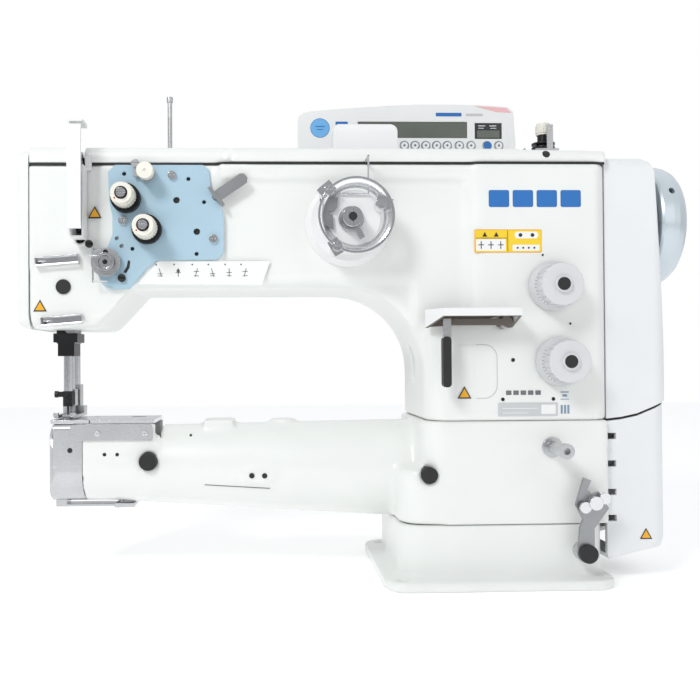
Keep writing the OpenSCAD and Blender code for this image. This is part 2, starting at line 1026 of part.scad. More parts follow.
module timing_pulley_lower() {
    color(grey)
        difference() {
            union() {
                bx([30, 0, low_z], 30, 24);
                bx([28.5, 0, low_z], 34, 1.5);
                bx([54, 0, low_z], 34, 1.5);
            }
            bx([20, 0, low_z], 8 + clr, 50);
        }
}

// toothed belt between the two shafts
module timing_belt() {
    color(dark)
        fx(31.5, 21)
            difference() {
                belt_loop(32.4);
                belt_loop(30.4);
            }
}

module belt_loop(r) {
    translate([-r, low_z])
        square([2 * r, shaft_z - low_z]);
    for (z = [low_z, shaft_z])
        translate([0, z])
            circle(r = r);
}

module shaft_below() {
    color(steel)
        bx([-360, 0, low_z], 8, 436);
}

// 2 : 1 bevel pair that turns the hook
module bevel_gear() {
    color(steel)
        difference() {
            translate([-361.8, 0, low_z])
                rotate([0, 90, 0])
                    cylinder(r1 = 11.5, r2 = 13, h = 4);
            bx([-370, 0, low_z], 8 + clr, 30);
            for (a = [0 : 22.5 : 359])
                translate([0, 0, low_z])
                    rotate([a, 0, 0])
                        bb([-363, -0.8, 10.6], [-360.6, 0.8, 14]);
        }
}

module bevel_pinion() {
    color(steel)
        difference() {
            translate([hook_x, 0, low_z + 10])
                cylinder(r1 = 5.9, r2 = 6.6, h = 4);
            bz([hook_x, 0, low_z], 4 + clr, 30);
            for (a = [0 : 45 : 359])
                translate([hook_x, 0, 0])
                    rotate([0, 0, a])
                        bb([5.2, -0.7, low_z + 9], [8, 0.7, low_z + 12]);
        }
}

module hook_shaft() {
    color(steel)
        bz([hook_x, 0, 79], 4, 42);
}

// rotating hook around the bobbin case
module hook_cup() {
    color(steel)
        difference() {
            union() {
                bz([hook_x, 0, 119], 9, 3);
                bz([hook_x, 0, 121], 25, 17.5);
            }
            bz([hook_x, 0, 110], 4 + clr, 20);
            bz([hook_x, 0, 123.5], 22.4, 30);
            bb([hook_x + 8, -30, 130], [hook_x + 20, -18, 134]);
        }
}

module bobbin_case() {
    color(grey)
        difference() {
            bz([hook_x, 0, 123.9], 22, 15.2);
            difference() {
                bz([hook_x, 0, 125.4], 19.4, 30);
                bz([hook_x, 0, 120], 3, 20);
            }
            bb([hook_x + 2, -30, 132], [hook_x + 8, -18, 150]);
        }
}

module bobbin() {
    color(steel)
        difference() {
            union() {
                bz([hook_x, 0, 125.8], 18.8, 1.2);
                bz([hook_x, 0, 125.8], 5.5, 12);
                bz([hook_x, 0, 136.6], 18.8, 1.2);
            }
            bz([hook_x, 0, 120], 3.06, 30);
            for (a = [0 : 60 : 359])
                translate([hook_x, 0, 0])
                    rotate([0, 0, a])
                        bz([12, 0, 120], 1.8, 30);
        }
}

module shaft_bushings() {
    color(brass)
        for (p = [[-350.4, 8.8], [-186.4, 8.8], [86, 12.4]])
            difference() {
                bx([p[0], 0, shaft_z], 16, p[1]);
                bx([p[0] - 1, 0, shaft_z], shaft_r + clr, p[1] + 2);
            }
}

module lower_bushings() {
    color(brass)
        for (p = [[-328.4, 8.8], [-110.4, 8.8], [83, 13]])
            difference() {
                bx([p[0], 0, low_z], 12, p[1]);
                bx([p[0] - 1, 0, low_z], 8 + clr, p[1] + 2);
            }
}

// ---- needle, feet and take-up --------------------------------------------

// counterweight disc with the crank pin at the lowest point
module crank_disc() {
    color(steel)
        difference() {
            union() {
                bx([-384, 0, shaft_z], 24, 6);
                bx([-390.4, 0, shaft_z - 16.5], 4, 8);
            }
            bx([-384.1, 0, shaft_z], shaft_r + clr, 8);
        }
}

// link between the crank pin and the needle bar
module needle_link() {
    color(steel)
        difference() {
            union() {
                bx([-390.2, 0, shaft_z - 16.5], 7.5, 5);
                bx([-390.2, 0, 266], 6.5, 5);
                bb([-390.2, -4, 266], [-385.2, 4, shaft_z - 16.5]);
            }
            bx([-392, 0, shaft_z - 16.5], 4 + clr, 8);
            bx([-392, 0, 266], 3 + clr, 8);
        }
}

module take_up_pivot() {
    color(steel)
        bx([-377, -24, 340], 3.95, 34.8);
}

// lever that pulls the thread up, seen through the slot in the head
module take_up_lever() {
    color(steel)
        translate([0, -24, 340])
            rotate([-50, 0, 0])
                difference() {
                    union() {
                        bx([-376, 0, 0], 8, 4.4);
                        bb([-376, -56, -3.2], [-371.6, 0, 3.2]);
                        bx([-376, -57, 0], 3.8, 4.4);
                    }
                    bx([-380, 0, 0], 4, 12);
                    bx([-380, -57, 0], 1.5, 12);
                }
}

module rocker_pivot() {
    color(steel)
        bx([-417, 3, 362], 3.95, 74.8);
}

// swinging frame that guides the needle bar and the walking foot bar
module frame_of_rocker() {
    color(grey)
        difference() {
            union() {
                bx([-416, 3, 362], 9, 11);
                bb([-416, -6, 239], [-407.2, 12, 362]);
                bb([-416, -8.4, 306], [-391.6, 19.2, 316]);
                bb([-416, -8.4, 240], [-391.6, 19.2, 250]);
                bb([-407.4, -8.4, 218], [-390, 19.2, 250]);
            }
            bx([-420, 3, 362], 4, 30);
            bz([needle_x, 0, 200], needle_bar_r + clr, 130);
            bz([needle_x, walk_y, 200], needle_bar_r + clr, 130);
        }
}

// black guard around the bars under the head
module bar_collar() {
    color(dark)
        difference() {
            union() {
                bb([-410, -10.6, 219], [-387.4, 21.4, 227.5]);
                bb([-406.4, -8, 206], [-391, 19, 219]);
            }
            bb([-407.5, -8.5, 218], [-389.9, 19.3, 240]);
            bz([needle_x, 0, 200], needle_bar_r + 0.5, 40);
            bz([needle_x, walk_y, 200], needle_bar_r + 0.5, 40);
        }
}

module needle_bar() {
    color(steel)
        union() {
            bz([needle_x, 0, 168], needle_bar_r, 154);
            bz([needle_x, 0, 260], 7, 12);
            bx([needle_x, 0, 266], 2.96, 8);
        }
}

module clamp_part() {
    color(dark)
        difference() {
            union() {
                bz([needle_x, 0, 158], 4.8, 14.5);
                bb([-409, -2.6, 167], [needle_x, 2.6, 172]);
                bx([-411, 0, 169.5], 3.2, 3);
                by([needle_x, -9, 163.4], 2.4, 6);
                by([needle_x, -9, 169.4], 2, 6);
            }
            bz([needle_x, 0, 167.9], needle_bar_r + 0.02, 10);
            bz([needle_x, 0, 150], 1.02, 18);
        }
}

module needle() {
    color(steel)
        union() {
            bz([needle_x, 0, 124], 0.75, 43.8);
            bz([needle_x, 0, 154], 1, 13.8);
            cylinder_at([needle_x, 0, 118], 0.15, 0.75, 6);
        }
}

module walking_bar() {
    color(steel)
        bz([needle_x, walk_y, 164], needle_bar_r, 158);
}

module walking_foot() {
    color(steel)
        difference() {
            union() {
                bb([-404, 7.4, 158], [-393.4, 19, 174]);
                bb([-402.4, 7.4, 152], [-395, 17, 160]);
                bb([-402.4, -8, 147.5], [-395, 17, 150.2]);
                bb([-402.4, 7, 147.5], [-395, 12, 158]);
            }
            bz([needle_x, walk_y, 163.9], needle_bar_r + clr, 20);
            bb([needle_x - 1.8, -3, 140], [needle_x + 1.8, 3, 160]);
        }
}

module bar_of_presser() {
    color(steel)
        union() {
            bz([needle_x, presser_y, 164], 5, 186);
            bz([needle_x, presser_y, 280], 8, 6);
        }
}

module presser_foot() {
    color(steel)
        difference() {
            union() {
                bb([-405, 25.4, 156], [-392.4, 39, 178]);
                bb([-409, 24, 147.5], [-388.4, 38, 157]);
                bb([-409, -13, 147.5], [-404.4, 30, 150.3]);
                bb([-393, -13, 147.5], [-388.4, 30, 150.3]);
                bb([-409, -16, 149], [-404.4, -12, 152.5]);
                bb([-393, -16, 149], [-388.4, -12, 152.5]);
            }
            bz([needle_x, presser_y, 163.9], 5.02, 20);
        }
}

// coil spring that presses the foot down
module presser_spring() {
    color(steel)
        difference() {
            bz([needle_x, presser_y, 286.2], 8, 17.6);
            bz([needle_x, presser_y, 280], 5.6, 30);
            for (z = [288 : 3 : 301])
                translate([needle_x, presser_y, z])
                    difference() {
                        cylinder(r = 9, h = 1.2);
                        translate([0, 0, -1])
                            cylinder(r = 6.6, h = 4);
                    }
        }
}

module bar_bushings() {
    color(brass)
        for (z = [251.6, 321.8])
            difference() {
                bz([needle_x, presser_y, z], 7, 8.6);
                bz([needle_x, presser_y, z - 1], 5 + clr, 11);
            }
}

// ---- bed plates ----------------------------------------------------------

module needle_plate() {
    color(steel)
        difference() {
            fz(bed_z - 3.4, 3.4)
                rr(-408.6, -31, -372, 31, 3);
            bb([-404.4, -12.4, 100], [-393.2, 12.4, 200]);
            for (y = [-22, 22])
                bz([-376, y, 100], 2, 80);
        }
}

// sliding plate over the bobbin
module slide_plate() {
    color(steel)
        difference() {
                bb([-371.6, -31, bed_z - 3.4], [-312.6, 31, bed_z]);
            bb([-340, 8, bed_z - 1], [-326, 20, bed_z + 1]);
        }
}

// steel front cover with two screws
module front_plate() {
    color(steel)
        difference() {
            fy(-34.7, 1.6)
                rr(-388.9, 128, -313.9, 142.9, 2);
            for (x = [-364, -320.7])
                by([x, -40, 134.5], 1.6, 10);
        }
}

// rounded cover on the free end of the bed
module bed_end_cover() {
    color(steel)
        difference() {
            union() {
                intersection() {
                    fx(-409.5, 31.1)
                        rr(-34.4, 69.6, 34.4, 142.9, 30);
                    fz(60, 90)
                        rr(-409.5, -34.4, -340, 34.4, 8);
                    bb([-420, -50, 60], [-378.3, 50, 160]);
                }
                intersection() {
                    fx(-406, 27.7)
                        rr(-34.4, 100, 34.4, 142.9, 5);
                    bb([-405, -50, 100], [-378.3, 50, 142.9]);
                }
                bb([-408, -9, 63.8], [-350, 9, 65.8]);
                bb([-408, -9, 63.8], [-398, 9, 73]);
                by([-350, -9, 64.8], 2.8, 18);
            }
            fx(-406.9, 40)
                rr(-29, 74, 29, 160, 22);
            by([-350, -12, 64.8], 1.5, 24);
        }
}

// hinge strip of the end cover under the bed
module bed_strip() {
    color(steel)
        union() {
            by([-350, -14, 64.8], 1.45, 28);
            bb([-352.6, -14, 63.2], [-334, -9.4, 67]);
            bb([-352.6, 9.4, 63.2], [-334, 14, 67]);
            bb([-346, -14, 63.2], [-334, 14, 66.6]);
        }
}

// ---- feed ----------------------------------------------------------------

module feed_bar() {
    color(steel)
        union() {
            bb([-403.6, 17.6, 95], [-120, 21.6, 109]);
            bb([-403.6, 17.6, 95], [-395.2, 21.6, 138]);
            bb([-403.6, 9, 134.4], [-395.2, 21.6, 138]);
        }
}

module feed_dog() {
    color(steel)
        difference() {
            union() {
                bb([-403.6, -8, 138], [-395.2, 21, 141]);
                bb([-403.6, -8, 141], [-395.2, 8, bed_z + 0.4]);
            }
            bb([needle_x - 1.8, -2.6, 120], [needle_x + 1.8, 2.6, 160]);
            for (y = [-7 : 2 : 7])
                bb([-404, y, bed_z - 0.6], [-395, y + 0.9, bed_z + 1]);
        }
}

// ---- grouped nodes -------------------------------------------------------

module thread_guides() {
    thread_guide_upper();
    thread_guide_lower();
}

module check_spring_unit() {
    disc_of_spring();
    wire_of_spring();
}

module tension_studs() {
    tension_stud(-331.6, 344.3);
    tension_stud(-313.2, 316.7);
    tension_discs(-331.6, 344.3);
    tension_discs(-313.2, 316.7);
}

module winder_tension_post() {
    thread_post();
    winder_tension_discs();
}

module panel_housing() {
    panel_shell();
    panel_keys();
}

module winder_ring() {
    ring_part();
    winder_cutter();
    winder_wire();
}

module lock_studs() {
    lock_stud();
    lock_pivot();
}

module main_shaft() {
    upper_shaft();
    timing_pulley_upper();
    crank_disc();
}

// handwheel in one piece with its belt pulley
module handwheel() {
    wheel_rim();
    belt_pulley();
}

module lower_shaft() {
    shaft_below();
    timing_pulley_lower();
    bevel_gear();
}

module hook() {
    hook_shaft();
    bevel_pinion();
    hook_cup();
}

module pins_and_bushings() {
    shaft_bushings();
    lower_bushings();
    bar_bushings();
    take_up_pivot();
    rocker_pivot();
}

module rocker_frame() {
    frame_of_rocker();
    bar_collar();
}

module needle_clamp() {
    clamp_part();
    needle();
}

module presser_bar() {
    bar_of_presser();
    presser_spring();
}

module bed_plates() {
    front_plate();
    bed_strip();
}

// black plugs, inserts and black screws
module black_plugs_and_screws() {
    rubber_plugs();
    black_head_screws();
    column_trim();
    bed_bosses();
}

// ---- fasteners -----------------------------------------------------------

// cross-head and slotted screws
module cross_screws() {
    color(steel)
        for (p = [[-291.4, 365.3], [-335.1, 325.1], [-255.1, 308.9]])
            pan_screw(p[0], plate_y - 0.45, p[1], 3.8, 2.4);
    color(steel)
        for (p = [[-364, 134.5], [-320.7, 134.5]])
            pan_screw(p[0], -36.35, p[1], 2.6, 1.4);
}

// dark inserts of the threaded holes in the bed
module bed_bosses() {
    color(dark)
        for (p = [[-222.6, 95.4], [-210.9, 95.2]])
            by([p[0], -43.4, p[1]], 2.4, 2);
}

base_pedestal();
bed_casting();
arm_casting();
head_face_plate();
top_cover();
winder_dome();
take_up_guard();
tension_plate();
thread_guides();
check_spring_unit();
tension_studs();
tension_knob_upper();
tension_knob_lower();
pretension_guide();
thread_antenna();
release_lever();
winder_tension_post();
winder_tension_knob();
panel_bracket();
panel_housing();
panel_screen();
winder_plate();
winder_ring();
winder_spindle();
winder_trip_lever();
lever_hood();
reverse_lever();
stitch_dial();
alternate_dial();
side_cover_upper();
side_cover_lower();
cover_seal();
black_plugs_and_screws();
lock_studs();
lock_plate();
wing_bolt();
main_shaft();
handwheel();
timing_belt();
lower_shaft();
hook();
bobbin_case();
bobbin();
pins_and_bushings();
needle_link();
take_up_lever();
rocker_frame();
needle_bar();
needle_clamp();
walking_bar();
walking_foot();
presser_bar();
presser_foot();
needle_plate();
slide_plate();
bed_plates();
bed_end_cover();
feed_bar();
feed_dog();
cross_screws();
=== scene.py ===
import math
import bmesh
import bpy
from mathutils import Matrix, Vector
from mathutils.bvhtree import BVHTree


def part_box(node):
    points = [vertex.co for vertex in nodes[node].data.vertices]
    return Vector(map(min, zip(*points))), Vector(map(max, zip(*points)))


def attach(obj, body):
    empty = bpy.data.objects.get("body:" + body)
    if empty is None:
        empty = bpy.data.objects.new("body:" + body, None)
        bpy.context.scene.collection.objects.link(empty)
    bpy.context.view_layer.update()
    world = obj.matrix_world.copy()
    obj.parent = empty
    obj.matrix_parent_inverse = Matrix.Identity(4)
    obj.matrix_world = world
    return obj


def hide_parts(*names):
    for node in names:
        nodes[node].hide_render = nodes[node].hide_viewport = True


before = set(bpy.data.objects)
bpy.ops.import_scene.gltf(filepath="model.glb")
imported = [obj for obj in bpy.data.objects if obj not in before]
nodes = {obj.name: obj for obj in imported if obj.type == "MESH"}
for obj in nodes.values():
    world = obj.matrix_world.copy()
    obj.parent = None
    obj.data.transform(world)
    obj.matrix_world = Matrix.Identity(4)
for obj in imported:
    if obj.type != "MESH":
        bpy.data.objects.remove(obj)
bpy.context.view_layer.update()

MM = 0.001
ROOT = "machine_frame"
NOISE_LOW, NOISE_HIGH = 0.3, 0.7  # the part of a noise's range that is used


# ---------------------------------------------------------------- materials
def tree_of(name):
    """A new material with its node tree and shader."""
    mat = bpy.data.materials.new(name)
    mat.use_nodes = True
    nt = mat.node_tree
    return mat, nt, nt.nodes["Principled BSDF"]


def noise_of(nt, scale, detail, stretch=(1, 1, 1)):
    """Noise in the object's own coordinates."""
    co = nt.nodes.new("ShaderNodeTexCoord")
    mp = nt.nodes.new("ShaderNodeMapping")
    mp.inputs["Scale"].default_value = stretch
    nt.links.new(co.outputs["Object"], mp.inputs["Vector"])
    n = nt.nodes.new("ShaderNodeTexNoise")
    n.inputs["Scale"].default_value = scale
    n.inputs["Detail"].default_value = detail
    nt.links.new(mp.outputs["Vector"], n.inputs["Vector"])
    return n


def ramp_of(nt, fac, a, b):
    """Colour a below NOISE_LOW and b above NOISE_HIGH."""
    r = nt.nodes.new("ShaderNodeValToRGB")
    r.color_ramp.elements[0].position = NOISE_LOW
    r.color_ramp.elements[1].position = NOISE_HIGH
    r.color_ramp.elements[0].color = (*a, 1)
    r.color_ramp.elements[1].color = (*b, 1)
    nt.links.new(fac, r.inputs["Fac"])
    return r


def map_of(nt, value, come, go):
    """Maps the range come linearly onto the range go."""
    r = nt.nodes.new("ShaderNodeMapRange")
    r.inputs["From Min"].default_value, r.inputs["From Max"].default_value = come
    r.inputs["To Min"].default_value, r.inputs["To Max"].default_value = go
    nt.links.new(value, r.inputs["Value"])
    return r


def surface(name, base, rough, metallic=0.0, vary=0.03, coat=0.0, coat_rough=0.1, bump=0.1,
            bump_scale=900.0, grain=(1, 1, 1), rough_vary=0.05, edge=0.0006):
    """A surface with a slightly uneven colour, uneven gloss, a fine bump and softened edges."""
    mat, nt, bs = tree_of(name)
    big = noise_of(nt, 22.0, 4.0)
    fine = noise_of(nt, bump_scale, 2.0, grain)
    a = tuple(max(0.0, c * (1 - vary)) for c in base)
    b = tuple(min(1.0, c * (1 + vary * 0.6)) for c in base)
    col = ramp_of(nt, big.outputs["Fac"], a, b)
    nt.links.new(col.outputs["Color"], bs.inputs["Base Color"])
    rg = map_of(nt, fine.outputs["Fac"] if metallic > 0.5 else big.outputs["Fac"],
                (NOISE_LOW, NOISE_HIGH), (max(0.02, rough - rough_vary), rough + rough_vary))
    nt.links.new(rg.outputs["Result"], bs.inputs["Roughness"])
    bs.inputs["Metallic"].default_value = metallic
    bs.inputs["Coat Weight"].default_value = coat
    bs.inputs["Coat Roughness"].default_value = coat_rough
    bm = nt.nodes.new("ShaderNodeBump")
    bm.inputs["Strength"].default_value = bump
    bm.inputs["Distance"].default_value = 0.00005
    nt.links.new(fine.outputs["Fac"], bm.inputs["Height"])
    if edge:
        bv = nt.nodes.new("ShaderNodeBevel")
        bv.samples = 4
        bv.inputs["Radius"].default_value = edge
        nt.links.new(bv.outputs["Normal"], bm.inputs["Normal"])
    nt.links.new(bm.outputs["Normal"], bs.inputs["Normal"])
    return mat


PAINT = surface("white_paint", (0.82, 0.84, 0.82), 0.34, vary=0.015, coat=0.25, coat_rough=0.18,
                bump=0.25, bump_scale=420.0)
PLASTIC = surface("white_plastic", (0.84, 0.85, 0.85), 0.38, vary=0.012, bump=0.2,
                  bump_scale=1500.0)
COVER = surface("cover_white", (0.80, 0.82, 0.83), 0.36, vary=0.012, coat=0.2, coat_rough=0.2,
                bump=0.25, bump_scale=600.0)
WHEEL = surface("wheel_paint", (0.60, 0.67, 0.72), 0.30, metallic=0.45, vary=0.02, coat=0.3,
                bump=0.15, bump_scale=500.0)
BLUEPLATE = surface("plate_blue", (0.41, 0.58, 0.69), 0.40, metallic=0.08, vary=0.03, bump=0.2,
                    bump_scale=900.0)
CHROME = surface("bright_steel", (0.72, 0.73, 0.75), 0.16, metallic=1.0, vary=0.05, bump=0.15,
                 bump_scale=700.0, grain=(1, 1, 4))
SATIN = surface("satin_steel", (0.58, 0.59, 0.60), 0.30, metallic=1.0, vary=0.06, bump=0.3,
                bump_scale=500.0, grain=(0.2, 1, 5))
GREY = surface("grey_steel", (0.36, 0.37, 0.38), 0.38, metallic=0.9, vary=0.08, bump=0.3,
               bump_scale=500.0, grain=(0.4, 1, 3))
DIAL = surface("dial_plastic", (0.66, 0.67, 0.69), 0.42, vary=0.02, bump=0.2, bump_scale=1300.0)
CREAM = surface("cream_plastic", (0.84, 0.82, 0.74), 0.35, vary=0.03, bump=0.2, bump_scale=1200.0)
BLACK = surface("black_oxide", (0.018, 0.018, 0.02), 0.34, metallic=0.4, vary=0.3, bump=0.3,
                bump_scale=700.0)
RUBBER = surface("black_rubber", (0.014, 0.014, 0.015), 0.55, vary=0.25, bump=0.5, bump_scale=900.0)
BRONZE = surface("bronze", (0.60, 0.44, 0.20), 0.32, metallic=1.0, vary=0.08, bump=0.2,
                 bump_scale=600.0)
LCD = surface("lcd", (0.125, 0.14, 0.12), 0.22, vary=0.10, coat=0.6, coat_rough=0.04, bump=0.05,
              bump_scale=300.0)
WINDOW = surface("dark_window", (0.03, 0.035, 0.04), 0.14, vary=0.15, coat=0.6, bump=0.05,
                 bump_scale=300.0)
BLUE_INK = surface("blue_ink", (0.02, 0.16, 0.48), 0.42, vary=0.05, bump=0.1, edge=0.0)
SKY_INK = surface("sky_ink", (0.16, 0.44, 0.80), 0.42, vary=0.05, bump=0.1, edge=0.0)
YELLOW = surface("yellow_label", (0.90, 0.62, 0.03), 0.42, vary=0.04, bump=0.1, edge=0.0)
AMBER = surface("amber_label", (0.86, 0.42, 0.02), 0.42, vary=0.05, bump=0.1, edge=0.0)
INK = surface("dark_ink", (0.02, 0.02, 0.022), 0.5, vary=0.2, bump=0.1, edge=0.0)
LABEL = surface("white_label", (0.86, 0.87, 0.86), 0.40, vary=0.02, bump=0.1, edge=0.0)
# pale grey for labels and plates, and also the painted shade along the column pad's edge
PALE_GREY = surface("pale_grey_label", (0.60, 0.62, 0.63), 0.36, metallic=0.2, vary=0.03,
                    bump=0.1, edge=0.0)
RED_DOT = surface("red_dot", (0.50, 0.06, 0.04), 0.45, vary=0.08, bump=0.1, edge=0.0)
MID_INK = surface("grey_ink", (0.16, 0.17, 0.18), 0.5, vary=0.15, bump=0.1, edge=0.0)
BLUE_GREY = surface("blue_grey_ink", (0.22, 0.30, 0.42), 0.5, vary=0.1, bump=0.1, edge=0.0)
DISH = surface("polished_dish", (0.88, 0.89, 0.90), 0.12, metallic=0.9, vary=0.03, bump=0.1,
               bump_scale=500.0, grain=(1, 4, 1))
# painted shade: dark brown that stands in for the shade under the lever hood
SHADE = surface("dark_brown_lining", (0.16, 0.14, 0.12), 0.55, vary=0.2, bump=0.2)
PINK = surface("pink_film", (0.86, 0.50, 0.52), 0.35, vary=0.05, bump=0.1, edge=0.0)

MATERIAL_OF = {
    "base_pedestal": PAINT, "bed_casting": PAINT, "arm_casting": PAINT, "head_face_plate": PAINT,
    "top_cover": PAINT, "winder_dome": PLASTIC, "take_up_guard": PLASTIC, "tension_plate": BLUEPLATE,
    "thread_guides": CHROME, "check_spring_unit": SATIN, "tension_studs": CHROME,
    "tension_knob_upper": CREAM, "tension_knob_lower": CREAM, "pretension_guide": SATIN,
    "thread_antenna": SATIN, "release_lever": GREY, "winder_tension_post": SATIN,
    "winder_tension_knob": CREAM, "panel_bracket": GREY, "panel_housing": PLASTIC, "panel_screen": LCD,
    "winder_plate": PLASTIC, "winder_ring": CHROME, "winder_spindle": CHROME, "winder_trip_lever": SATIN,
    "lever_hood": PLASTIC, "reverse_lever": SATIN, "stitch_dial": DIAL, "alternate_dial": DIAL,
    "side_cover_upper": COVER, "side_cover_lower": COVER, "cover_seal": RUBBER,
    "black_plugs_and_screws": RUBBER, "lock_studs": SATIN, "lock_plate": GREY, "wing_bolt": CHROME,
    "main_shaft": SATIN, "handwheel": WHEEL, "timing_belt": RUBBER, "lower_shaft": SATIN, "hook": SATIN,
    "bobbin_case": SATIN, "bobbin": CHROME, "pins_and_bushings": BRONZE, "needle_link": SATIN,
    "take_up_lever": CHROME, "rocker_frame": GREY, "needle_bar": CHROME, "needle_clamp": BLACK,
    "walking_bar": CHROME, "walking_foot": SATIN, "presser_bar": CHROME, "presser_foot": SATIN,
    "needle_plate": CHROME, "slide_plate": CHROME, "bed_plates": SATIN, "bed_end_cover": SATIN,
    "feed_bar": SATIN, "feed_dog": SATIN, "cross_screws": CHROME,
}
for name, obj in nodes.items():
    obj.data.materials.clear()
    obj.data.materials.append(MATERIAL_OF[name])


def paint(name, mat, test):
    """Gives mat to the faces of a carried-over node whose middle (mm) passes the test."""
    me = nodes[name].data
    me.materials.append(mat)
    k = len(me.materials) - 1
    for p in me.polygons:
        if test(p.center.x / MM, p.center.y / MM, p.center.z / MM):
            p.material_index = k


def paint_facing(name, mat, test):
    """The same for the faces whose normal passes the test."""
    me = nodes[name].data
    me.materials.append(mat)
    k = len(me.materials) - 1
    for p in me.polygons:
        if test(p.normal):
            p.material_index = k


def off_axis(x, z, ax, az):
    return math.hypot(x - ax, z - az)


def middle(name):
    """Middle of a node's box in X and Z, and its front (mm)."""
    lo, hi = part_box(name)
    return (lo[0] + hi[0]) / 2 / MM, (lo[2] + hi[2]) / 2 / MM, lo[1] / MM


def off_studs(x, z):
    """Distance from the nearer of the two tension stud axes."""
    return min(off_axis(x, z, *STUD_UP[:2]), off_axis(x, z, *STUD_LOW[:2]))


STUD_UP, STUD_LOW = middle("tension_knob_upper"), middle("tension_knob_lower")
DIALS = {"stitch_dial": middle("stitch_dial"), "alternate_dial": middle("alternate_dial")}
SPINDLE = middle("winder_spindle")
POST = middle("winder_tension_knob")
paint("reverse_lever", RUBBER, lambda x, y, z: z < 221 and y < -86.4)
for dial, (_, _, front) in DIALS.items():
    paint(dial, RUBBER, lambda x, y, z: y < front + 0.5)
paint("winder_tension_post", BLACK, lambda x, y, z: 399.1 < z < 412.3 and y > -36.9
      and off_axis(x, y, POST[0], -26) > 3.3)
# painted shade: the lever's arm under the hood is dark brown so that it reads as the shade there
paint("reverse_lever", SHADE, lambda x, y, z: z > 229.5 and x > -47)
# painted shade: the hood's underside and inner faces are dark brown
paint_facing("lever_hood", SHADE, lambda n: n.z < -0.3 or n.y > 0.3)
paint("lock_studs", RUBBER, lambda x, y, z: z < 45 and y < -87.9)
paint("tension_studs", BLACK, lambda x, y, z: y > -78 and off_studs(x, z) > 6.7)
paint("panel_screen", WINDOW, lambda x, y, z: x > 10)
paint("check_spring_unit", CHROME, lambda x, y, z: y < -74.2)
paint("pretension_guide", CREAM, lambda x, y, z: y < -77.9)
paint("winder_ring", GREY, lambda x, y, z: y > -93.9 and x < -145.5 and z > 312 and z < 342)
paint("rocker_frame", BLACK, lambda x, y, z: z < 228)


# ---------------------------------------------------------------- building helpers
def to_m(p):
    return Vector((p[0] * MM, p[1] * MM, p[2] * MM))


def add_piece(name, bm, mat, body=ROOT):
    """Turns bm into a piece of one material that rides on body."""
    me = bpy.data.meshes.new(name)
    bm.normal_update()
    bm.to_mesh(me)
    bm.free()
    me.materials.append(mat)
    ob = bpy.data.objects.new(name, me)
    bpy.context.scene.collection.objects.link(ob)
    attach(ob, body)
    return ob


def rounded(x0, z0, x1, z1, r, n=6):
    """Corner-rounded outline (X, Z) as a list of points."""
    pts = []
    corners = ((x1 - r, z1 - r, 0), (x0 + r, z1 - r, 90), (x0 + r, z0 + r, 180), (x1 - r, z0 + r, 270))
    for cx, cz, a0 in corners:
        for i in range(n + 1):
            a = math.radians(a0 + 90 * i / n)
            pts.append((cx + r * math.cos(a), cz + r * math.sin(a)))
    return pts


def disc(cx, cz, r, n=40):
    turns = [2 * math.pi * i / n for i in range(n)]
    return [(cx + r * math.cos(a), cz + r * math.sin(a)) for a in turns]


def fill(bm, outline, y, t):
    """Adds a flat plate facing the operator, front face at y, t thick, to bm (mm)."""
    front = [bm.verts.new(to_m((x, y, z))) for x, z in outline]
    back = [bm.verts.new(to_m((x, y + t, z))) for x, z in outline]
    n = len(outline)
    f = bm.faces.new(front)
    g = bm.faces.new(list(reversed(back)))
    for i in range(n):
        bm.faces.new((front[i], back[i], back[(i + 1) % n], front[(i + 1) % n]))
    return f, g


def bridge(bm, rows, closed=False):
    """Joins rows of four points each, one after the other, into a skin."""
    pairs = list(zip(rows, rows[1:]))
    if closed:
        pairs.append((rows[-1], rows[0]))
    for a, b in pairs:
        for k in range(4):
            bm.faces.new((a[k], a[(k + 1) % 4], b[(k + 1) % 4], b[k]))


def decal(name, outlines, y, mat, body=ROOT, t=0.15):
    """Flat plates facing the operator, front faces at y, as one piece."""
    bm = bmesh.new()
    for o in outlines:
        fill(bm, o, y, t)
    bmesh.ops.recalc_face_normals(bm, faces=bm.faces)
    return add_piece(name, bm, mat, body)


def cast_copy(name, voxel, rounds, weight):
    """The casting again with the soft edges of a casting: a fine remesh, smoothed where weight() says.

    Each round is (strength, steps, kind), and weight(kind, x, y, z) takes millimetres.
    """
    me = nodes[name].data.copy()
    ob = bpy.data.objects.new(name + "_cast", me)
    bpy.context.scene.collection.objects.link(ob)
    m = ob.modifiers.new("remesh", "REMESH")
    m.mode = "VOXEL"
    m.voxel_size = voxel * MM
    m.use_smooth_shade = True
    for strength, steps, group in rounds:
        s = ob.modifiers.new("smooth", "SMOOTH")
        s.factor = strength
        s.iterations = steps
        s.name = "smooth_" + group
    deps = bpy.context.evaluated_depsgraph_get()
    # the remesh first, then the groups on its points
    smooths = [mod for mod in ob.modifiers if mod.type == "SMOOTH"]
    for s in smooths:
        s.show_viewport = False
        s.show_render = False
    deps.update()
    fine = bpy.data.meshes.new_from_object(ob.evaluated_get(deps))
    ob.modifiers.remove(ob.modifiers["remesh"])
    ob.data = fine
    for s in smooths:
        kind = s.name.replace("smooth_", "").split(".")[0]
        vg = ob.vertex_groups.new(name=kind)
        for v in fine.vertices:
            w = weight(kind, v.co.x / MM, v.co.y / MM, v.co.z / MM)
            if w > 0:
                vg.add([v.index], w, "REPLACE")
        s.vertex_group = vg.name
        s.show_viewport = True
        s.show_render = True
    deps = bpy.context.evaluated_depsgraph_get()
    deps.update()
    final = bpy.data.meshes.new_from_object(ob.evaluated_get(deps))
    ob.modifiers.clear()
    ob.vertex_groups.clear()
    ob.data = final
    for p in final.polygons:
        p.use_smooth = True
    final.materials.clear()
    final.materials.append(MATERIAL_OF[name])
    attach(ob, ROOT)
    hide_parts(name)
    return ob


# ---------------------------------------------------------------- castings
def near(v, a, b, soft):
    """1 between a and b, falling to 0 over soft millimetres outside."""
    if v < a:
        return max(0.0, 1 - (a - v) / soft)
    if v > b:
        return max(0.0, 1 - (v - b) / soft)
    return 1.0


